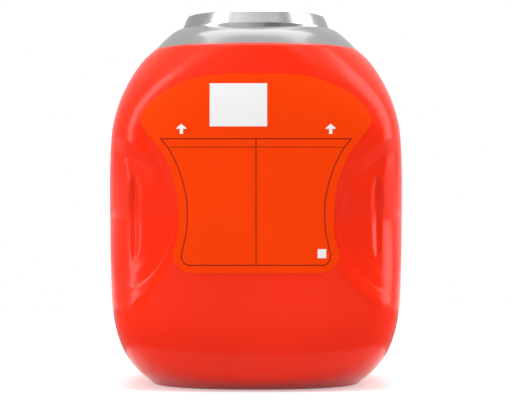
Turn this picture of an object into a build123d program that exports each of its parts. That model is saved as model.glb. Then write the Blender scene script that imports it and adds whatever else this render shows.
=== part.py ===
"""Laundry pod tub: a blow-moulded tub with pinch grips, a collar, a screw lid and a release tab.

Millimetres, +Z up. The origin is the centre of the foot, on the surface that the tub stands on.
The grips are at -X and +X. The back label faces -Y, and the front label and the tab face +Y.
"""
from build123d import *
import math
import os

# Tub
tub_height = 240.0            # from the surface it stands on to the ledge under the collar
tub_width = 209.2             # over the grips, at the widest height
tub_depth = 159.0             # over the two label panels
tub_wall = 1.6
panel_squareness = 4.5        # exponent of the superellipse half way up: 2 is an ellipse
foot_squareness = 2.35
ledge_squareness = 2.2
# Each section of the tub: share of the height, of the half width and of the half depth
tub_sections = (
    (0.000, 0.712, 0.692),
    (0.012, 0.742, 0.760),
    (0.037, 0.806, 0.872),
    (0.071, 0.867, 0.942),
    (0.104, 0.907, 0.976),
    (0.150, 0.941, 0.994),
    (0.208, 0.967, 1.000),
    (0.292, 0.986, 1.000),
    (0.417, 0.997, 1.000),
    (0.550, 1.000, 1.000),
    (0.667, 0.994, 1.000),
    (0.758, 0.976, 0.998),
    (0.833, 0.937, 0.990),
    (0.896, 0.881, 0.972),
    (0.942, 0.824, 0.948),
    (0.975, 0.767, 0.922),
    (1.000, 0.702, 0.894),
)

# Pinch grips: a sloping floor inside a tapered wall, both round one axis that runs front to back
grip_axis_out = 8.0           # from the widest side of the tub out to the axis
grip_height = 120.0           # height of the axis
grip_rim_radius = 57.0        # where the wall leaves the panel
grip_floor_radius = 48.4      # where the wall meets the floor
grip_rim_drop = 2.5           # from the panel's middle back to the wall's outer edge
grip_rim_slope = 22.0         # degrees, how the wall's outer edge leans back towards the side
grip_floor_drop = 13.5        # from the panel's middle back to the floor's inner edge
grip_floor_slope = 36.0       # degrees, the floor falls away towards the side
groove_length = 64.0
groove_radius = 6.0
groove_end_radius = 1.5
groove_depth = 4.0
groove_out = 84.5             # from the middle of the tub

# Neck and its three-start thread
neck_radius = 48.5
neck_wall = 2.5
neck_height = 18.5            # above the ledge
thread_starts = 3
thread_lead = 18.0
thread_depth = 1.8
thread_thickness = 2.0
thread_span = 110.0           # degrees that each rib goes round
thread_base = 7.0             # from the ledge up to the start of each rib
thread_crest = 0.6            # a rib's thickness at its crest, as a share of its thickness at its root
bite = 0.6                    # how far a rib or a bead is sunk into the wall that carries it
snap_bead = 0.9               # how far the bead that keeps the collar on stands out
snap_bead_height = 1.5
snap_clearance = 0.1          # between the collar's floor and the bead

# Collar
collar_reveal = 0.5           # the collar stands back from the tub's edge by this much
collar_wall = 2.0
collar_floor = 2.2
collar_fit = 0.4              # between the neck and the collar
well_clearance = 0.8          # between the lid and the well
# Each section of the collar: height above the ledge, share of its half width and half depth at the ledge
collar_sections = (
    (0.0, 1.000, 1.000),
    (3.0, 0.966, 0.955),
    (6.0, 0.927, 0.908),
    (9.0, 0.884, 0.854),
    (12.0, 0.837, 0.784),
    (14.5, 0.780, 0.706),
    (17.0, 0.697, 0.600),
)

# Lid
lid_wall = 2.4
lid_slope_run = 3.7           # how far the sloping edge draws in from the skirt to the flat top
lid_slope_height = 8.6        # from the lid's top down to the skirt
lid_skirt_gap = 2.3           # between the collar's floor and the skirt's lower edge
lid_edge = 1.0                # radius round the flat top
thread_clearance = 0.5        # between the neck's ribs and the lid's skirt
lug_clearance = 0.4           # between the lid's lugs and the neck
lug_span = 40.0
lug_gap = 0.3                 # between a lug and the rib above it
liner_plate = 1.5
liner_ring_wall = 2.4
liner_ring_height = 2.2       # from the neck's rim up to the plate
liner_clearance = 0.3
bead_reach = 0.7              # how far the lid's bead reaches under the liner's plate
bead_height = 0.8
bead_clearance = 0.1          # between the liner's plate and the bead
recess_depth = 0.4
recess_radius = 44.0

# Labels
film = 0.3
film_clearance = 0.3
grip_margin = 2.0             # between a panel label and the rims of the grips
# The side of a panel label: share of the tub's half width and of its height, from the top middle down
label_side = (
    (0.000, 0.909), (0.287, 0.906), (0.437, 0.892), (0.588, 0.863), (0.701, 0.826), (0.758, 0.780),
    (0.726, 0.748), (0.646, 0.704), (0.565, 0.638), (0.518, 0.565), (0.508, 0.492), (0.525, 0.427),
    (0.545, 0.392), (0.525, 0.368), (0.485, 0.351), (0.431, 0.341),
)

# Release tab
tab_width = 24.0
tab_height = 5.8
tab_base = 2.4                # height of the button's lower edge above the ledge
tab_proud = 1.2
tab_flange = 1.8
tab_flange_reach = 2.0        # how far the flange stands out to each side
tab_flange_height = 9.0
tab_flange_out = 4.8          # from the lid's well out to the flange's outer face
tab_travel = 2.0
tab_clearance = 0.3
guide_wall = 4.0              # of the block inside the collar that guides the tab, at each side of it
guide_height = 12.0

# Worked out from the values above
ledge_half_width = tub_width / 2 * tub_sections[-1][1]
ledge_half_depth = tub_depth / 2 * tub_sections[-1][2]
neck_bore = neck_radius - neck_wall
lid_bore = neck_radius + thread_depth + thread_clearance
lid_skirt_radius = lid_bore + lid_wall
lid_top_radius = lid_skirt_radius - lid_slope_run
lid_top_inside = lid_top_radius - lid_wall / 2
liner_radius = lid_top_inside - liner_clearance
well_radius = lid_skirt_radius + well_clearance
z_ledge = tub_height
z_neck = z_ledge + neck_height
z_liner = z_neck + liner_ring_height
z_lid_inside = z_liner + liner_plate
z_lid = z_lid_inside + lid_wall
z_skirt = z_ledge + collar_floor + lid_skirt_gap
z_slope = z_lid - lid_slope_height
grip_axis = tub_width / 2 + grip_axis_out
tab_face = well_radius + tab_flange_out


def superellipse(half_width, half_depth, squareness, height, points=32):
    """One closed outline at a height, as a smooth spline through evenly turned points."""
    outline = []
    for step in range(points):
        angle = 2 * math.pi * (step + 0.5) / points
        c, s = math.cos(angle), math.sin(angle)
        across = (abs(c) / half_width) ** squareness + (abs(s) / half_depth) ** squareness
        radius = across ** (-1 / squareness)
        outline.append((radius * c, radius * s, height))
    return Wire([Spline(*outline, periodic=True)])


def blend(share):
    """A smooth step from 0 to 1."""
    share = min(max(share, 0.0), 1.0)
    return share * share * (3 - 2 * share)


def squareness_at(share):
    """How square the tub's section is at a share of its height."""
    rising = foot_squareness + (panel_squareness - foot_squareness) * blend(share / 0.21)
    falling = ledge_squareness + (panel_squareness - ledge_squareness) * blend((1 - share) / 0.25)
    return min(rising, falling)


def tub_form(grow):
    """The tub's outer form without its grips, made larger or smaller all round by grow."""
    wires = []
    for share, width_share, depth_share in tub_sections:
        height = share * tub_height
        if share == 0.0:
            height -= min(grow, 0.0)
        if share == 1.0:
            height += grow
        half_width = tub_width / 2 * width_share + grow
        half_depth = tub_depth / 2 * depth_share + grow
        wires.append(superellipse(half_width, half_depth, squareness_at(share), height))
    return Solid.make_loft(wires)


def four_ways(shape):
    """The shape and its mirror images in the two upright middle planes."""
    pair = [shape, shape.mirror(Plane.YZ)]
    return pair + [each.mirror(Plane.XZ) for each in pair]


def front_to_back(x, y, z):
    """A plane at a point that looks out towards -Y."""
    return Plane(origin=(x, y, z), x_dir=(1, 0, 0), z_dir=(0, -1, 0))


def leaning_ring(radius, drop, run, inner):
    """A ring that is round from the front, on a plane that leans back by run for each unit outwards.

    The plane lies drop behind the panel's middle at inner, its distance from the tub's middle.
    """
    depth = tub_depth / 2 - drop - run * (grip_axis - inner)
    plane = Plane(origin=(grip_axis, -depth, grip_height), x_dir=(1, run, 0), z_dir=(run, -1, 0))
    return Wire((plane * Ellipse(radius * math.hypot(1, run), radius)).edges())


def grip_scoop(grow):
    """One scoop, at +X and -Y: a tapered wall down to a sloping floor, grown by grow."""
    floor_inner = grip_axis - grip_floor_radius
    rim_inner = grip_axis - grip_rim_radius
    floor_run = math.tan(math.radians(grip_floor_slope))
    rim_run = math.tan(math.radians(grip_rim_slope))
    floor_ring = leaning_ring(grip_floor_radius + grow, grip_floor_drop + grow, floor_run, floor_inner)
    rim_ring = leaning_ring(grip_rim_radius + grow, grip_rim_drop + grow, rim_run, rim_inner)
    # The wall runs on past its rim by as much again, so that the tool clears the panel
    outer_radius = 2 * grip_rim_radius - grip_floor_radius
    floor_at_axis = grip_floor_drop + floor_run * (grip_axis - floor_inner)
    rim_at_axis = grip_rim_drop + rim_run * (grip_axis - rim_inner)
    outer_drop = 2 * rim_at_axis - floor_at_axis
    outer_ring = leaning_ring(outer_radius + grow, outer_drop + grow, 2 * rim_run - floor_run, grip_axis)
    return Solid.make_loft([floor_ring, rim_ring, outer_ring], ruled=True)


def grip_groove(grow):
    """The groove in a scoop's floor, at +X and -Y: widest half way up and narrow at its ends."""
    half = groove_length / 2 + grow
    profile = Polyline(
        (0, -half), (groove_end_radius + grow, -half), (groove_radius + grow, 0),
        (groove_end_radius + grow, half), (0, half), close=True)
    spindle = revolve(Plane.XZ * make_face(profile), Axis.Z)
    floor_run = math.tan(math.radians(grip_floor_slope))
    floor_drop = grip_floor_drop + floor_run * (groove_out - grip_axis + grip_floor_radius)
    middle = tub_depth / 2 - floor_drop + groove_radius - groove_depth
    return Pos(groove_out, -middle, grip_height) * spindle


def tub_with_grips(grow):
    """The tub's form with its grips. A negative grow gives the space inside its wall."""
    form = tub_form(grow)
    for tool in (grip_scoop(-grow), grip_groove(-grow)):
        form = form - four_ways(tool)
    return form


def helix_bar(radius_in, radius_out, start_angle, span, start_height):
    """A rib that climbs round the axis, as short straight-sided blocks lofted end to end."""
    steps = max(2, round(span / 10))
    root = thread_thickness / 2
    crest = root * thread_crest
    wires = []
    for step in range(steps + 1):
        turn = math.radians(start_angle + span * step / steps)
        height = start_height + thread_lead * span / 360 * step / steps
        plane = Plane(
            origin=(0, 0, height),
            x_dir=(math.cos(turn), math.sin(turn), 0),
            z_dir=(math.sin(turn), -math.cos(turn), 0))
        corners = Polyline(
            (radius_in, -root), (radius_out, -crest), (radius_out, crest), (radius_in, root), close=True)
        wires.append(Wire((plane * corners).edges()))
    return Solid.make_loft(wires)


def tube(outer, inner, bottom, top):
    """A round tube about the middle axis."""
    ring = Cylinder(outer, top - bottom) - Cylinder(inner, top - bottom)
    return Pos(0, 0, (top + bottom) / 2) * ring


def make_tub():
    """The blow-moulded tub with its neck and thread."""
    body = tub_with_grips(0.0)
    body += tube(neck_radius, neck_bore, z_ledge - tub_wall, z_neck)
    bead_bottom = z_ledge + collar_floor + snap_clearance
    body += tube(neck_radius + snap_bead, neck_bore, bead_bottom, bead_bottom + snap_bead_height)
    rib_height = z_ledge + thread_base
    for start in range(thread_starts):
        angle = 360 / thread_starts * start
        body += helix_bar(neck_radius - bite, neck_radius + thread_depth, angle, thread_span, rib_height)
    body -= tub_with_grips(-tub_wall)
    mouth_bottom = z_ledge - 2 * tub_wall
    body -= Pos(0, 0, (mouth_bottom + z_lid) / 2) * Cylinder(neck_bore, z_lid - mouth_bottom)
    return body


def collar_form(grow):
    """The collar's outer form, made larger or smaller all round by grow."""
    wires = []
    for height, width_share, depth_share in collar_sections:
        half_width = (ledge_half_width - collar_reveal) * width_share + grow
        half_depth = (ledge_half_depth - collar_reveal) * depth_share + grow
        wires.append(superellipse(half_width, half_depth, ledge_squareness, z_ledge + height))
    return Solid.make_loft(wires)


def block(x_half, y_low, y_high, z_low, z_high):
    """A box that is centred in X and lies between two faces in Y and in Z."""
    middle = Pos(0, (y_low + y_high) / 2, (z_low + z_high) / 2)
    return middle * Box(2 * x_half, y_high - y_low, z_high - z_low)


def make_collar():
    """The ring that sits on the tub's ledge and holds the lid's well and the tab's guide."""
    below = z_ledge - collar_floor
    guide_half = tab_width / 2 + tab_flange_reach + guide_wall
    guide = block(guide_half, neck_radius, tub_depth, below, z_ledge + guide_height)
    well = Pos(0, 0, z_ledge) * Cylinder(well_radius + collar_wall, 2 * neck_height + 2 * collar_floor)
    hollow = collar_form(-collar_wall) - well
    collar = collar_form(0.0) - (hollow - guide)
    floor_top = z_ledge + collar_floor
    collar -= Pos(0, 0, (floor_top + z_lid) / 2) * Cylinder(well_radius, z_lid - floor_top)
    collar -= Pos(0, 0, z_ledge) * Cylinder(neck_radius + collar_fit, 4 * collar_floor)
    window_bottom = z_ledge + tab_base - tab_clearance
    window_top = z_ledge + tab_base + tab_height + tab_clearance
    collar -= block(tab_width / 2 + tab_clearance, tab_face, tub_depth, window_bottom, window_top)
    pocket_half = tab_width / 2 + tab_flange_reach + tab_clearance
    pocket_in = tab_face - tab_flange - tab_travel - tab_clearance
    pocket_top = z_ledge + tab_flange_height + 2 * tab_clearance
    collar -= block(pocket_half, pocket_in, tab_face + tab_clearance, below, pocket_top)
    return collar


def make_tab():
    """The release tab: a button that follows the collar's surface, on a flange inside it."""
    bottom = z_ledge + tab_base
    button = block(tab_width / 2, tab_face - tab_flange, tub_depth, bottom, bottom + tab_height)
    button = button & collar_form(tab_proud)
    flange_bottom = z_ledge + tab_clearance
    flange_half = tab_width / 2 + tab_flange_reach
    flange = block(
        flange_half, tab_face - tab_flange, tab_face,
        flange_bottom, flange_bottom + tab_flange_height)
    return button + flange


def make_lid():
    """The screw lid: one moulding with a sloping edge, a skirt, three lugs and a bead."""
    outline = Polyline(
        (0, z_lid), (lid_top_radius, z_lid), (lid_skirt_radius, z_slope), (lid_skirt_radius, z_skirt),
        (lid_bore, z_skirt), (lid_bore, z_slope), (lid_top_inside, z_lid_inside), (0, z_lid_inside),
        close=True)
    lid = revolve(Plane.XZ * make_face(outline), Axis.Z)
    rim = lid.edges().filter_by(GeomType.CIRCLE).sort_by(Axis.Z)[-1]
    lid = fillet(rim, lid_edge)
    bead_top = z_liner - bead_clearance
    lid += tube(lid_top_inside + lid_wall / 2, liner_radius - bead_reach, bead_top - bead_height, bead_top)
    rise = thread_lead * lug_span / 360
    lug_height = z_ledge + thread_base - thread_thickness - lug_gap + rise
    for start in range(thread_starts):
        angle = 360 / thread_starts * start + lug_span
        lid += helix_bar(neck_radius + lug_clearance, lid_bore + bite, angle, lug_span, lug_height)
    lid -= Pos(0, 0, z_lid) * Cylinder(recess_radius, 2 * recess_depth)
    return lid


def make_liner():
    """The sealing disc in the lid: its ring lies on the neck's rim."""
    ring_radius = liner_radius - bead_reach - liner_clearance
    plate = Pos(0, 0, (z_liner + z_lid_inside) / 2) * Cylinder(liner_radius, liner_plate)
    return plate + tube(ring_radius, ring_radius - liner_ring_wall, z_neck, z_liner + liner_plate / 3)


def label_outline():
    """Half of a panel label: an arched top, a waist between the grips and round lower corners."""
    points = [(tub_width / 2 * out, tub_height * up) for out, up in label_side]
    corner = (0, points[-1][1])
    return make_face([Spline(*points), Line(points[-1], corner), Line(corner, points[0])])


def make_panel_label():
    """The film on the panel that faces -Y."""
    half = extrude(front_to_back(0, 0, 0) * label_outline(), tub_depth)
    rim = Cylinder(grip_rim_radius + grip_margin, 2 * tub_depth)
    half -= Plane.XZ * Pos(grip_axis, grip_height, 0) * rim
    whole = half + half.mirror(Plane.YZ)
    return whole & (tub_form(film) - tub_form(0.0))


def make_lid_label():
    """The round film in the recess of the lid's top."""
    return Pos(0, 0, z_lid - recess_depth + film / 2) * Cylinder(recess_radius - film_clearance, film)


def save(name, shape):
    """Write one node, and print its volume."""
    solids = shape.solids()
    export_step(Compound(solids) if len(solids) > 1 else solids[0], f"parts/{name}.step")
    print(name, len(solids), "solids", round(sum(each.volume for each in solids), 1))


def main():
    os.makedirs("parts", exist_ok=True)
    save("tub_body", make_tub())
    save("collar", make_collar())
    save("push_tab", make_tab())
    save("lid", make_lid())
    save("lid_liner", make_liner())
    save("lid_label", make_lid_label())
    back = make_panel_label()
    save("back_label", back)
    save("front_label", back.mirror(Plane.XZ))


main()
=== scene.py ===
# %% [markdown]
# # A laundry pod tub
#
# The tub is a blow-moulded plastic shell with two pinch grips, a grey collar snapped on its neck,
# and a silver screw lid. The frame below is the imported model: its bodies, its pieces and its box.
# The new meshes are placed from that frame, so they turn and lift with the bodies that they ride on.

# %% Load the frame
import bmesh
import bpy
import math
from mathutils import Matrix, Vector


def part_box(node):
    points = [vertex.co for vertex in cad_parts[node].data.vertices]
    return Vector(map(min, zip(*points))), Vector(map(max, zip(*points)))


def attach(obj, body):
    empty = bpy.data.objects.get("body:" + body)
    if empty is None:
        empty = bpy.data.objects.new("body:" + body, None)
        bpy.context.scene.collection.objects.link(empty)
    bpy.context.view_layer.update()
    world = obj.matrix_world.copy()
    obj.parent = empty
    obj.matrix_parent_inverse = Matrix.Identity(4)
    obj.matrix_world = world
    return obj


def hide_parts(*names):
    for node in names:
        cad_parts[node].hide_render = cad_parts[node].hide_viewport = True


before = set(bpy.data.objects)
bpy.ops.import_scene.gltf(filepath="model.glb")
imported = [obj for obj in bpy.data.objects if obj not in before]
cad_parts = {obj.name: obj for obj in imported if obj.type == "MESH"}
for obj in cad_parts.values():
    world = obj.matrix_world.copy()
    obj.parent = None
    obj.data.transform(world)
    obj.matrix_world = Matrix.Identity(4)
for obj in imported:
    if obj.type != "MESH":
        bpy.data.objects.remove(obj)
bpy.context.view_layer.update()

# %% Small helpers
MM = 0.001


def mix(low, high, share):
    return low + (high - low) * share


def smooth_step(share):
    share = min(max(share, 0.0), 1.0)
    return share * share * (3 - 2 * share)


def round_min(first, second, radius):
    """The smaller of two heights, with the corner between them rounded off."""
    apart = max(radius - abs(first - second), 0.0) / radius
    return min(first, second) - apart * apart * radius * 0.25


def finish_mesh(name, bm):
    """Turn a bmesh into a smooth object that stands at the origin."""
    mesh = bpy.data.meshes.new(name)
    bm.to_mesh(mesh)
    bm.free()
    piece = bpy.data.objects.new(name, mesh)
    bpy.context.scene.collection.objects.link(piece)
    for face in mesh.polygons:
        face.use_smooth = True
    print(name, len(mesh.polygons), "faces")
    return piece


# %% [markdown]
# ## The tub's form
#
# A blow-moulded tub has no flat side and no sharp corner, so its shape is written as a formula:
# at each height the outline is a superellipse, which is an ellipse that has been squared off.
# The sizes below are those of the mould, in millimetres, worked out from the frame's box.
# A cage with a Subdivision Surface could give the same form, but the grips' creases would need
# dozens of hand-placed loops, and a formula puts each crease where it belongs.

# %% The tub's sizes
low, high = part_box("tub_body")
TUB_WIDTH = (high[0] - low[0]) / MM
TUB_DEPTH = (high[1] - low[1]) / MM
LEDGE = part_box("collar")[0][2] / MM
NECK_TOP = high[2] / MM
WALL = 1.6
NECK_RADIUS = 48.5
NECK_BORE = 46.0
FOOT_SQUARENESS = 2.35
PANEL_SQUARENESS = 4.5
LEDGE_SQUARENESS = 2.2
print("the tub is", round(TUB_WIDTH, 1), "by", round(TUB_DEPTH, 1), "mm")
print("its ledge is", round(LEDGE, 1), "mm up")

# Each row: share of the height, of the half width, of the half depth
SECTIONS = (
    (0.000, 0.712, 0.692),
    (0.012, 0.742, 0.760),
    (0.037, 0.806, 0.872),
    (0.071, 0.867, 0.942),
    (0.104, 0.907, 0.976),
    (0.150, 0.941, 0.994),
    (0.208, 0.967, 1.000),
    (0.292, 0.986, 1.000),
    (0.417, 0.997, 1.000),
    (0.550, 1.000, 1.000),
    (0.667, 0.994, 1.000),
    (0.758, 0.976, 0.998),
    (0.833, 0.937, 0.990),
    (0.896, 0.881, 0.972),
    (0.942, 0.824, 0.948),
    (0.975, 0.767, 0.922),
    (1.000, 0.702, 0.894),
)


def along_sections(share, column):
    """A smooth curve through one column of the sections."""
    share = min(max(share, 0.0), 1.0)
    last = len(SECTIONS) - 1
    at = 0
    while at < last - 1 and SECTIONS[at + 1][0] <= share:
        at += 1
    a, b = SECTIONS[at], SECTIONS[at + 1]
    before, after = SECTIONS[max(at - 1, 0)], SECTIONS[min(at + 2, last)]
    gap = b[0] - a[0]
    slope_a = (b[column] - before[column]) / (b[0] - before[0])
    slope_b = (after[column] - a[column]) / (after[0] - a[0])
    t = (share - a[0]) / gap
    return (
        (1 + 2 * t) * (1 - t) ** 2 * a[column] + t * (1 - t) ** 2 * gap * slope_a
        + t * t * (3 - 2 * t) * b[column] + t * t * (t - 1) * gap * slope_b)


def squareness(share):
    """How squared off the outline is at a share of the height: 2 is an ellipse."""
    rising = mix(FOOT_SQUARENESS, PANEL_SQUARENESS, smooth_step(share / 0.21))
    falling = mix(LEDGE_SQUARENESS, PANEL_SQUARENESS, smooth_step((1 - share) / 0.25))
    return min(rising, falling)


# %% [markdown]
# ## The pinch grips
#
# Each grip is a scoop whose outline is a circle about an axis beside the tub. Its floor is a flat
# plane that starts at the panel and falls away towards the side. The wall round it is as tall as
# the floor is deep there: nothing half way up, and tall above and below. It is written as a depth
# under the panel at each place, so that the scoop and the panel are one skin, as they are moulded.

# %% The grips' sizes
GRIP_AXIS = TUB_WIDTH / 2 + 8.0
GRIP_HEIGHT = 120.0
RIM_RADIUS = 57.0
RIM_STEP = 0.8
RIDGE_RADIUS = 48.4
RIDGE_DROP = 2.6
INNER_RADIUS = 45.4
LOW_INNER_RADIUS = 39.4
FLOOR_DROP = 3.4
FLOOR_RUN = math.tan(math.radians(29.0))
ROLL_REACH = 12.0
ROLL_LOW = 2.2
ROLL_HIGH = 0.5
STEP_HALF = 0.6
WALL_SOFTNESS = 0.6
TALL_TURN = 30.0
TALL_START = 0.2
LOW_TURN = 25.0
LOW_REACH = 35.0
GROOVE_OUT = 84.0
GROOVE_HALF = 28.5
GROOVE_DEPTH = 4.5
GROOVE_WIDTH = 5.6
EDGE_SHARP = 1.2
EDGE_ROUND = 10.0
EDGE_START = 86.0
EDGE_REACH = 14.0
SIDE_START = 12.0
SIDE_REACH = 28.0


def grip_floor(x, z):
    """The depth of the scoop's floor under the panel, with its pointed groove."""
    floor = FLOOR_DROP + FLOOR_RUN * (x - (GRIP_AXIS - RIDGE_RADIUS))
    reach = 1 - ((z - GRIP_HEIGHT) / GROOVE_HALF) ** 2
    if reach > 0:
        width = GROOVE_WIDTH * math.sqrt(reach)
        off = abs(x - GROOVE_OUT) / width
        if off < 1:
            floor += GROOVE_DEPTH * math.sqrt(reach) * (1 - smooth_step(off))
    return floor


def with_grip(x, y, z, panel):
    """Sink a point of the skin, at a distance y from the middle plane, into the grip at +X."""
    out, up = GRIP_AXIS - x, z - GRIP_HEIGHT
    r = math.hypot(out, up)
    if r > RIM_RADIUS + ROLL_REACH:
        return y
    turn = math.degrees(math.atan2(up, out))
    height = smooth_step(turn / TALL_TURN + TALL_START)
    lowness = smooth_step((-turn - LOW_TURN) / LOW_REACH)
    roll = mix(ROLL_LOW, ROLL_HIGH, height) * smooth_step((RIM_RADIUS + ROLL_REACH - r) / ROLL_REACH) ** 2
    step = RIM_STEP * smooth_step((RIM_RADIUS + STEP_HALF - r) / (2 * STEP_HALF))
    band = max(RIM_RADIUS - r, 0.0) * (RIDGE_DROP - RIM_STEP) / (RIM_RADIUS - RIDGE_RADIUS)
    shelf = y - roll - step - band
    wall_top = mix(RIDGE_RADIUS, RIM_RADIUS - STEP_HALF, height)
    wall_foot = mix(mix(INNER_RADIUS, LOW_INNER_RADIUS, lowness), RIDGE_RADIUS - STEP_HALF, height)
    share = min(max((wall_top - r) / (wall_top - wall_foot), 0.0), 1.0)
    share = mix(share, smooth_step(share), WALL_SOFTNESS)
    edge = mix(EDGE_SHARP, EDGE_ROUND, smooth_step((x - EDGE_START) / EDGE_REACH))
    floor = round_min(shelf, panel - grip_floor(x, z), edge)
    return mix(shelf, floor, share)


def tub_point(turn, share, grow):
    """A point of the tub's skin, at an angle about the middle and a share of the height."""
    half_width = TUB_WIDTH / 2 * along_sections(share, 1) + grow
    half_depth = TUB_DEPTH / 2 * along_sections(share, 2) + grow
    power = squareness(share)
    c, s = math.cos(turn), math.sin(turn)
    radius = (abs(c / half_width) ** power + abs(s / half_depth) ** power) ** (-1 / power)
    x, y, z = radius * c, radius * s, share * LEDGE
    reach = smooth_step((abs(y) - SIDE_START) / SIDE_REACH)
    if reach > 0:
        sunk = with_grip(abs(x), abs(y), z, TUB_DEPTH / 2 + grow)
        y = math.copysign(mix(abs(y), sunk, reach), y)
    return x, y, z


# %% [markdown]
# ## The tub's skin
#
# The skin is one grid, wrapped round: its columns go round the tub, and its rows climb the outside,
# cross the ledge, climb the neck, turn over its rim and go down the inside. One closed sheet has a
# true wall thickness, so the open mouth looks right when the lid is off. Rows and columns are set
# closer where the grips are, because their creases need small faces and the panels don't.

# %% Rows and columns
COLUMNS = 396
COLUMN_KNOTS = ((0.0, 0.0), (0.10, 12.0), (0.80, 60.0), (1.0, 90.0))
FOOT_SHARES = (0.0, 0.5, 0.9, 0.985)
FOOT_HEIGHTS = (0.0, 0.0025, 0.006, 0.011)
LOW_START = 0.018
LOW_STEP = 0.009
LOW_ROWS = 24
GRIP_TOP = 0.74
GRIP_ROWS = 118
SHOULDER_ROWS = 30
LEDGE_SHARES = (0.03, 0.5, 0.96)
NECK_ROWS = 32
INNER_HEIGHTS = (
    0.99, 0.96, 0.92, 0.86, 0.8, 0.74, 0.7, 0.65, 0.58, 0.5,
    0.42, 0.35, 0.3, 0.26, 0.2, 0.13, 0.08, 0.04, 0.01)
THREAD_LEAD = 18.0
THREAD_STARTS = 3
THREAD_DEPTH = 1.8
THREAD_BASE = 7.0
THREAD_SPAN = 110.0
THREAD_FADE = 6.0
THREAD_FLAT = 0.5
THREAD_SLOPE = 0.7


def column_angle(share):
    """Columns are closer together over the grips, in each quarter of the way round."""
    quarter, part = divmod(share * 4, 1.0)
    backwards = quarter % 2 == 1
    if backwards:
        part = 1 - part
    for (a, angle_a), (b, angle_b) in zip(COLUMN_KNOTS, COLUMN_KNOTS[1:]):
        if part <= b:
            degrees = mix(angle_a, angle_b, (part - a) / (b - a))
            break
    if backwards:
        degrees = 90 - degrees
    return math.radians(90 * quarter + degrees)


def thread_bump(turn, z):
    """How far the neck's ribs stand out: three ribs that climb round the neck."""
    bump = 0.0
    for start in range(THREAD_STARTS):
        along = (math.degrees(turn) - 360 / THREAD_STARTS * start) % 360
        if along > THREAD_SPAN:
            continue
        middle = LEDGE + THREAD_BASE + THREAD_LEAD * along / 360
        off = abs(z - middle)
        ends = smooth_step(min(along, THREAD_SPAN - along) / THREAD_FADE)
        bump = max(bump, THREAD_DEPTH * ends * (1 - smooth_step((off - THREAD_FLAT) / THREAD_SLOPE)))
    return bump


def ring(radius, z):
    return lambda turn: (radius * math.cos(turn), radius * math.sin(turn), z)


def inward(turn, share):
    """A point on the ledge, a share of the way in from its edge to the neck."""
    x, y, z = tub_point(turn, 1.0, 0.0)
    scale = mix(1.0, NECK_RADIUS / math.hypot(x, y), share)
    return x * scale, y * scale, z


def flat_row(height, grow, share):
    """A row of the foot, outside or inside: the outline at its foot, drawn in to a share of its size."""
    def point(turn):
        x, y, z = tub_point(turn, height, grow)
        return x * share, y * share, height * LEDGE
    return point


def outer_rows():
    """The rows from the middle of the foot up the outside and in across the ledge."""
    rows = [flat_row(0.0, 0.0, share) for share in FOOT_SHARES]
    heights = list(FOOT_HEIGHTS)
    heights += [LOW_START + LOW_STEP * step for step in range(LOW_ROWS)]
    low_top = heights[-1]
    heights += [mix(low_top, GRIP_TOP, (step + 1) / GRIP_ROWS) for step in range(GRIP_ROWS)]
    heights += [mix(GRIP_TOP, 1.0, (step + 1) / SHOULDER_ROWS) for step in range(SHOULDER_ROWS)]
    rows += [lambda turn, h=h: tub_point(turn, h, 0.0) for h in heights]
    rows += [lambda turn, k=k: inward(turn, k) for k in LEDGE_SHARES]
    return rows


def neck_rows():
    """The rows up the neck with its thread, over its lip, whose corners are eased, and down its bore."""
    rows = [ring(NECK_RADIUS, LEDGE + 0.3)]
    for step in range(NECK_ROWS):
        z = mix(LEDGE + 1.0, NECK_TOP - 0.8, step / (NECK_ROWS - 1))
        rows.append(lambda turn, z=z: ring(NECK_RADIUS + thread_bump(turn, z), z)(turn))
    rows.append(ring(NECK_RADIUS - 0.3, NECK_TOP - 0.2))
    rows.append(ring(NECK_RADIUS - 0.8, NECK_TOP))
    rows.append(ring(NECK_BORE + 0.4, NECK_TOP))
    rows.append(ring(NECK_BORE, NECK_TOP - 0.4))
    rows.append(ring(NECK_BORE, LEDGE + 1.0))
    rows.append(ring(NECK_BORE, LEDGE - WALL))
    return rows


def inner_rows():
    """The rows down the inside, to the middle of its floor."""
    rows = [lambda turn, h=h: tub_point(turn, h, -WALL) for h in INNER_HEIGHTS]
    rows += [flat_row(INNER_HEIGHTS[-1], -WALL, share) for share in (0.6, 0.0)]
    return rows


def make_tub():
    rows = outer_rows() + neck_rows() + inner_rows()
    bm = bmesh.new()
    bmesh.ops.create_grid(bm, x_segments=COLUMNS, y_segments=len(rows) - 1, size=1.0)
    for vertex in bm.verts:
        column = (vertex.co.x + 1) / 2
        row = round((vertex.co.y + 1) / 2 * (len(rows) - 1))
        turn = column_angle(column if column < 1 else 0.0)
        vertex.co = Vector(rows[row](turn)) * MM
    bmesh.ops.remove_doubles(bm, verts=bm.verts, dist=1e-6)
    bmesh.ops.recalc_face_normals(bm, faces=bm.faces)
    return finish_mesh("tub_shell", bm)


tub = make_tub()
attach(tub, "tub")
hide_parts("tub_body")

# %% [markdown]
# ## Finishes
#
# Glossy moulded plastic is a plain colour under a clear, slightly rough surface. A faint noise in
# the bump gives it the soft orange peel of a blow-moulded skin. The lid's silver is a thin metallic
# finish on plastic, so its shader is a plain metal that is a little rough.

# %% Materials
CLOUD_SIZE = 14.0
PEEL_SIZE = 400.0
PEEL_STRENGTH = 0.02
PEEL_DEPTH = 0.0002


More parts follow.
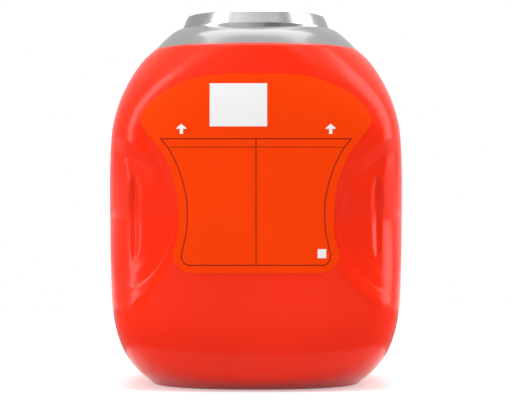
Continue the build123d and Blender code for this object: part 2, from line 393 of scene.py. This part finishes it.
def plastic(name, colour, roughness, metallic=0.0, gloss=0.5, tint=0.03):
    """A moulded plastic with a little variation in its colour and its surface."""
    material = bpy.data.materials.new(name)
    material.use_nodes = True
    nodes, links = material.node_tree.nodes, material.node_tree.links
    shader = nodes["Principled BSDF"]
    shader.inputs["Roughness"].default_value = roughness
    shader.inputs["Metallic"].default_value = metallic
    shader.inputs["Specular IOR Level"].default_value = gloss
    place = nodes.new("ShaderNodeTexCoord")
    clouds = nodes.new("ShaderNodeTexNoise")
    clouds.inputs["Scale"].default_value = CLOUD_SIZE
    ramp = nodes.new("ShaderNodeValToRGB")
    ramp.color_ramp.elements[0].position = 0.3
    ramp.color_ramp.elements[1].position = 0.7
    ramp.color_ramp.elements[0].color = tuple(v * (1 - tint) for v in colour) + (1.0,)
    ramp.color_ramp.elements[1].color = tuple(min(v * (1 + tint), 1.0) for v in colour) + (1.0,)
    links.new(place.outputs["Object"], clouds.inputs["Vector"])
    links.new(clouds.outputs["Fac"], ramp.inputs["Fac"])
    links.new(ramp.outputs["Color"], shader.inputs["Base Color"])
    peel = nodes.new("ShaderNodeTexNoise")
    peel.inputs["Scale"].default_value = PEEL_SIZE
    bump = nodes.new("ShaderNodeBump")
    bump.inputs["Strength"].default_value = PEEL_STRENGTH
    bump.inputs["Distance"].default_value = PEEL_DEPTH
    links.new(place.outputs["Object"], peel.inputs["Vector"])
    links.new(peel.outputs["Fac"], bump.inputs["Height"])
    links.new(bump.outputs["Normal"], shader.inputs["Normal"])
    return material


def dress(piece, material):
    piece.data.materials.clear()
    piece.data.materials.append(material)


# %% Dress the tub and the frame's pieces
tub_plastic = plastic("tub_orange", (0.95, 0.023, 0.002), 0.2, gloss=0.2)
film = plastic("label_film", (0.98, 0.052, 0.0), 0.5, gloss=0.05)
grey = plastic("collar_grey", (0.24, 0.235, 0.23), 0.16, gloss=0.4)
silver = plastic("lid_silver", (0.56, 0.56, 0.565), 0.2, metallic=1.0)
natural = plastic("liner_white", (0.75, 0.75, 0.72), 0.5)
paper = plastic("lid_film", (0.42, 0.42, 0.43), 0.4, gloss=0.3)
dress(tub, tub_plastic)
for node, material in (
        ("collar", grey), ("push_tab", grey), ("lid", silver), ("lid_liner", natural),
        ("lid_label", paper), ("back_label", film), ("front_label", film)):
    node_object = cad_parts[node]
    for slot in node_object.material_slots:
        slot.material = material
    print("dressed", node)

# %% [markdown]
# ## The print on the back label
#
# A printed film is one sheet, and its print has no thickness worth modelling, so each field of
# colour is a very thin sheet that lies just over the film. Each one is drawn flat, as it would be
# on the artwork, and then laid on the panel's curve. An image would blur close up; these don't.

# %% Lay flat artwork on the panel
INK_LIFT = 0.08
PATCH_STEP = 3.0
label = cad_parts["back_label"]


def lay_on_panel(bm, lift):
    """Move artwork drawn flat in X and Z, in millimetres, on to the film."""
    for vertex in bm.verts:
        start = Vector((vertex.co.x, -2 * TUB_DEPTH, vertex.co.z)) * MM
        hit, place, normal, face = label.ray_cast(start, Vector((0.0, 1.0, 0.0)))
        vertex.co = place + normal * lift * MM if hit else start


def printed(name, bm, material, lift=INK_LIFT):
    lay_on_panel(bm, lift)
    piece = finish_mesh(name, bm)
    dress(piece, material)
    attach(piece, "tub")
    return piece


def flat_shape(outline, step):
    """A flat shape cut into small faces, so that it can follow the panel's curve."""
    bm = bmesh.new()
    corners = [bm.verts.new((x, 0.0, z)) for x, z in outline]
    bm.faces.new(corners)
    for axis, normal in ((0, (1.0, 0.0, 0.0)), (2, (0.0, 0.0, 1.0))):
        lowest = min(vertex.co[axis] for vertex in bm.verts)
        highest = max(vertex.co[axis] for vertex in bm.verts)
        cuts = math.ceil((highest - lowest) / step)
        for cut in range(1, cuts):
            place = Vector(normal) * mix(lowest, highest, cut / cuts)
            everything = bm.verts[:] + bm.edges[:] + bm.faces[:]
            bmesh.ops.bisect_plane(bm, geom=everything, plane_co=place, plane_no=normal)
    bmesh.ops.triangulate(bm, faces=bm.faces)
    return bm


def flat_patch(left, right, bottom, top):
    """A rectangle of ink."""
    return flat_shape(((left, bottom), (right, bottom), (right, top), (left, top)), PATCH_STEP)


def ribbon(path, width, closed=True):
    """A thin line of ink along a path."""
    bm = bmesh.new()
    count = len(path)
    pairs = []
    for at, (x, z) in enumerate(path):
        ahead = path[(at + 1) % count] if closed or at < count - 1 else path[at]
        behind = path[at - 1] if closed or at > 0 else path[at]
        along = Vector((ahead[0] - behind[0], 0.0, ahead[1] - behind[1])).normalized()
        side = Vector((-along.z, 0.0, along.x)) * width / 2
        middle = Vector((x, 0.0, z))
        pairs.append((bm.verts.new(middle + side), bm.verts.new(middle - side)))
    for at in range(count if closed else count - 1):
        a, b = pairs[at], pairs[(at + 1) % count]
        bm.faces.new((a[0], a[1], b[1], b[0]))
    return bm


def curve_through(points, steps=8):
    """Points along a smooth curve that passes through the given ones."""
    path = []
    for at in range(len(points) - 1):
        p0 = points[max(at - 1, 0)]
        p1, p2 = points[at], points[at + 1]
        p3 = points[min(at + 2, len(points) - 1)]
        for step in range(steps):
            t = step / steps
            path.append(tuple(
                0.5 * (2 * p1[k] + (p2[k] - p0[k]) * t
                       + (2 * p0[k] - 5 * p1[k] + 4 * p2[k] - p3[k]) * t * t
                       + (3 * p1[k] - p0[k] - 3 * p2[k] + p3[k]) * t ** 3) for k in (0, 1)))
    path.append(points[-1])
    return path


# %% Inks
white_ink = plastic("white_ink", (0.9, 0.9, 0.9), 0.5, gloss=0.1, tint=0.01)
brown_ink = plastic("brown_ink", (0.10, 0.012, 0.003), 0.5, gloss=0.1, tint=0.01)

# %% White patch and small square: left, right, bottom and top
WHITE_PATCH = (-31.6, 7.6, 182.2, 211.7)
SMALL_SQUARE = (42.0, 47.9, 92.3, 98.5)
printed("white_patch", flat_patch(*WHITE_PATCH), white_ink)
printed("small_square", flat_patch(*SMALL_SQUARE), white_ink)

# %% Two arrows
ARROW_ASIDE = 50.9
ARROW_FOOT = 177.1
ARROW_LENGTH = 6.9
ARROW_NECK = 3.7
ARROW_STEM = 1.15
ARROW_HEAD = 3.3
ARROW_BARB = 0.4
ARROW_STEP = 1.0


def arrow(middle):
    """An arrow that points up: a square stem under a wide head."""
    half = (
        (ARROW_STEM, 0.0), (ARROW_STEM, ARROW_NECK), (ARROW_HEAD, ARROW_NECK - ARROW_BARB),
        (ARROW_HEAD, ARROW_NECK + ARROW_BARB), (0.0, ARROW_LENGTH))
    outline = [(middle + x, ARROW_FOOT + z) for x, z in half]
    outline += [(middle - x, ARROW_FOOT + z) for x, z in reversed(half[:-1])]
    return flat_shape(outline, ARROW_STEP)


printed("arrow_left", arrow(-ARROW_ASIDE), white_ink)
printed("arrow_right", arrow(ARROW_ASIDE), white_ink)

# %% [markdown]
# ## The thin lines
#
# The panel has a thin outline whose sides curve in beside the grips, a rule under its heading and
# a divider. Only a few points of one side are chosen: a smooth curve passes through them, the other
# side mirrors it, and each line is a narrow ribbon along its path.

# %% The thin outline, its heading rule and its divider
FRAME_SIDE = (
    (65.2, 173.8), (60.4, 168.1), (56.2, 160.8), (52.7, 153.0), (50.4, 146.0), (48.2, 137.5), (47.1, 130.6),
    (46.9, 120.3), (47.4, 111.0), (49.1, 102.5), (50.6, 95.7), (51.0, 93.4), (49.3, 89.4), (46.4, 87.6),
    (43.0, 87.5))
FRAME_TOP = 173.8
FRAME_BOTTOM = 87.5
RULE_HEIGHT = 168.1
RULE_HALF = 60.2
LINE = 0.55
RULE_LINE = 0.33


def straight(start, end, steps=24):
    return [(mix(start[0], end[0], k / steps), mix(start[1], end[1], k / steps)) for k in range(steps + 1)]


right_side = curve_through(FRAME_SIDE)
left_side = [(-x, z) for x, z in reversed(right_side)]
bottom = straight(right_side[-1], left_side[0])[1:-1]
top = straight(left_side[-1], right_side[0])[1:-1]
printed("panel_outline", ribbon(right_side + bottom + left_side + top, LINE), brown_ink)
rule = straight((-RULE_HALF, RULE_HEIGHT), (RULE_HALF, RULE_HEIGHT))
printed("heading_rule", ribbon(rule, RULE_LINE, False), brown_ink)
divider = straight((0.0, FRAME_TOP), (0.0, FRAME_BOTTOM))
printed("divider", ribbon(divider, LINE, False), brown_ink)

# %% [markdown]
# ## Floor, lights and camera
#
# A pale floor and large soft lamps, as in a product studio. The floor reads as white to the camera
# and to reflections, and a little darker to bounced light, so that it doesn't fill every shadow.

# %% Floor
FLOOR_WHITE = 0.8
FLOOR_GLOW = 0.35
FLOOR_BOUNCE = 0.60
FADE_START = 0.25
FADE_END = 0.9
FLOOR_SIZE = 6.0


def grey_level(level):
    return level, level, level, 1.0


def seen_ray(nodes, links):
    """1 for a ray that the camera sees, straight or in a reflection or through glass."""
    path = nodes.new("ShaderNodeLightPath")
    either = nodes.new("ShaderNodeMath")
    either.operation = "MAXIMUM"
    any_of = nodes.new("ShaderNodeMath")
    any_of.operation = "MAXIMUM"
    links.new(path.outputs["Is Camera Ray"], either.inputs[0])
    links.new(path.outputs["Is Glossy Ray"], either.inputs[1])
    links.new(either.outputs["Value"], any_of.inputs[0])
    links.new(path.outputs["Is Transmission Ray"], any_of.inputs[1])
    return any_of.outputs["Value"]


def stage_material():
    """White where the camera or a reflection sees it, with the tub's soft shadow kept."""
    material = bpy.data.materials.new("studio_white")
    material.use_nodes = True
    nodes, links = material.node_tree.nodes, material.node_tree.links
    nodes.clear()
    out = nodes.new("ShaderNodeOutputMaterial")
    diffuse = nodes.new("ShaderNodeBsdfDiffuse")
    diffuse.inputs["Color"].default_value = grey_level(FLOOR_WHITE)
    glow = nodes.new("ShaderNodeEmission")
    glow.inputs["Strength"].default_value = FLOOR_GLOW
    both = nodes.new("ShaderNodeAddShader")
    plain = nodes.new("ShaderNodeBsdfDiffuse")
    plain.inputs["Color"].default_value = grey_level(FLOOR_BOUNCE)
    choose = nodes.new("ShaderNodeMixShader")
    links.new(diffuse.outputs["BSDF"], both.inputs[0])
    links.new(glow.outputs["Emission"], both.inputs[1])
    white = nodes.new("ShaderNodeEmission")
    white.inputs["Strength"].default_value = 1.0
    place = nodes.new("ShaderNodeTexCoord")
    away = nodes.new("ShaderNodeVectorMath")
    away.operation = "LENGTH"
    fade = nodes.new("ShaderNodeMapRange")
    fade.interpolation_type = "SMOOTHSTEP"
    fade.inputs["From Min"].default_value = FADE_START
    fade.inputs["From Max"].default_value = FADE_END
    shaded = nodes.new("ShaderNodeMixShader")
    links.new(place.outputs["Object"], away.inputs[0])
    links.new(away.outputs["Value"], fade.inputs["Value"])
    links.new(fade.outputs["Result"], shaded.inputs["Fac"])
    links.new(both.outputs["Shader"], shaded.inputs[1])
    links.new(white.outputs["Emission"], shaded.inputs[2])
    links.new(seen_ray(nodes, links), choose.inputs["Fac"])
    links.new(plain.outputs["BSDF"], choose.inputs[1])
    links.new(shaded.outputs["Shader"], choose.inputs[2])
    links.new(choose.outputs["Shader"], out.inputs["Surface"])
    return material


def make_floor():
    bm = bmesh.new()
    bmesh.ops.create_grid(bm, x_segments=1, y_segments=1, size=FLOOR_SIZE)
    floor = finish_mesh("floor", bm)
    dress(floor, stage_material())
    return floor


make_floor()

# %% Lamps


def soft_lamp(name, place, look_at, size, power):
    lamp = bpy.data.lights.new(name, "AREA")
    lamp.shape = "RECTANGLE"
    lamp.size, lamp.size_y = size
    lamp.energy = power
    stand = bpy.data.objects.new(name, lamp)
    bpy.context.scene.collection.objects.link(stand)
    stand.location = place
    stand.rotation_euler = (Vector(look_at) - Vector(place)).to_track_quat("-Z", "Y").to_euler()
    return stand


def around(angle, away, height):
    """A place round the tub: the angle turns from straight in front to the right."""
    turn = math.radians(angle)
    return away * math.sin(turn), -away * math.cos(turn), height


MIDDLE = (0.0, 0.0, 0.13)
soft_lamp("front_top", (0.0, -0.5, 1.9), MIDDLE, (1.6, 0.7), 19.0)
soft_lamp("left", around(-72.0, 1.6, 0.95), MIDDLE, (0.45, 1.9), 15.0)
soft_lamp("right", around(95.0, 1.6, 0.95), MIDDLE, (0.9, 1.9), 17.0)
soft_lamp("behind", (0.0, 0.7, 1.9), MIDDLE, (1.4, 0.7), 15.0)

# %% [markdown]
# ## The cards round the studio
#
# Glossy things on white need something dark to mirror, or their edges fade into the background.
# A studio stands grey cards round them. Only reflections see these, so they change the gloss
# and not the light. Angles are measured from straight in front, turning to the right.

# %% Grey cards
CARD_STEPS = 12


def card(name, start, stop, level, foot=(2.4, 0.0), top=(2.4, 3.2)):
    """A curved sheet of one grey, from one angle to another: foot and top are how far away and how high."""
    bm = bmesh.new()
    angles = [mix(start, stop, step / CARD_STEPS) for step in range(CARD_STEPS + 1)]
    line = [bm.verts.new(around(angle, *foot)) for angle in angles]
    edges = [bm.edges.new(pair) for pair in zip(line, line[1:])]
    raised = bmesh.ops.extrude_edge_only(bm, edges=edges)["geom"]
    far_edge = [part for part in raised if isinstance(part, bmesh.types.BMVert)]
    spread = top[0] / foot[0]
    bmesh.ops.scale(bm, verts=far_edge, vec=(spread, spread, 1.0))
    bmesh.ops.translate(bm, verts=far_edge, vec=(0.0, 0.0, top[1] - foot[1]))
    sheet = finish_mesh(name, bm)
    material = bpy.data.materials.new(name)
    material.use_nodes = True
    nodes, links = material.node_tree.nodes, material.node_tree.links
    nodes.clear()
    glow = nodes.new("ShaderNodeEmission")
    glow.inputs["Strength"].default_value = level
    out = nodes.new("ShaderNodeOutputMaterial")
    links.new(glow.outputs["Emission"], out.inputs["Surface"])
    dress(sheet, material)
    sheet.visible_camera = False
    sheet.visible_diffuse = False
    sheet.visible_shadow = False


card("card_behind_left", -176.0, -92.0, 0.55)
card("card_front_left", -36.0, -10.0, 0.75)
card("card_middle", -10.0, 12.0, 0.50)
card("card_front_right", 12.0, 40.0, 0.22)
card("card_right", 40.0, 68.0, 0.50)
card("card_behind_right", 108.0, 176.0, 0.65)
card("card_low_left", -66.0, -38.0, 0.12, foot=(0.6, 0.0), top=(0.6, 0.30))
card("card_low_right", 40.0, 76.0, 0.12, foot=(0.6, 0.0), top=(0.6, 0.30))
card("card_floor", -180.0, 180.0, 0.4, foot=(0.13, 0.001), top=(0.6, 0.001))

# %% [markdown]
# ## World and camera
#
# The world is white where the camera or a reflection looks, and dimmer for the light that it
# throws, so that the tub keeps its shading. The camera has a long lens and stands level with the
# middle of the tub, which keeps the tub's sides nearly upright.

# %% World
ROOM_LEVEL = 0.56


def studio_world():
    """White where the camera or a reflection looks, and dimmer for the light that it throws."""
    world = bpy.data.worlds.new("studio")
    bpy.context.scene.world = world
    world.use_nodes = True
    nodes, links = world.node_tree.nodes, world.node_tree.links
    background = nodes["Background"]
    background.inputs["Color"].default_value = (1.0, 1.0, 1.0, 1.0)
    choose = nodes.new("ShaderNodeMix")
    choose.data_type = "FLOAT"
    choose.inputs["A"].default_value = ROOM_LEVEL
    choose.inputs["B"].default_value = 1.0
    links.new(seen_ray(nodes, links), choose.inputs["Factor"])
    links.new(choose.outputs["Result"], background.inputs["Strength"])


studio_world()
print("room light", ROOM_LEVEL)

# %% Camera
CAMERA_AWAY = 1.238
CAMERA_HEIGHT = 0.132
LENS = 119.5
SENSOR = 36.0
camera = bpy.data.objects.new("camera", bpy.data.cameras.new("camera"))
bpy.context.scene.collection.objects.link(camera)
camera.data.lens = LENS
camera.data.sensor_width = SENSOR
camera.location = (0.0, -CAMERA_AWAY, CAMERA_HEIGHT)
camera.rotation_euler = (math.radians(90), 0.0, 0.0)
bpy.context.scene.camera = camera
bpy.context.scene.view_settings.view_transform = "Standard"
print("camera", CAMERA_AWAY, "m away and", CAMERA_HEIGHT, "m up")

# %% [markdown]
# ## The tub's size
#
# The looks must not change the tub's size. The helper below turns a box into plain numbers.

# %% A box as plain numbers


def plain(box):
    return [[float(value) for value in corner] for corner in box]
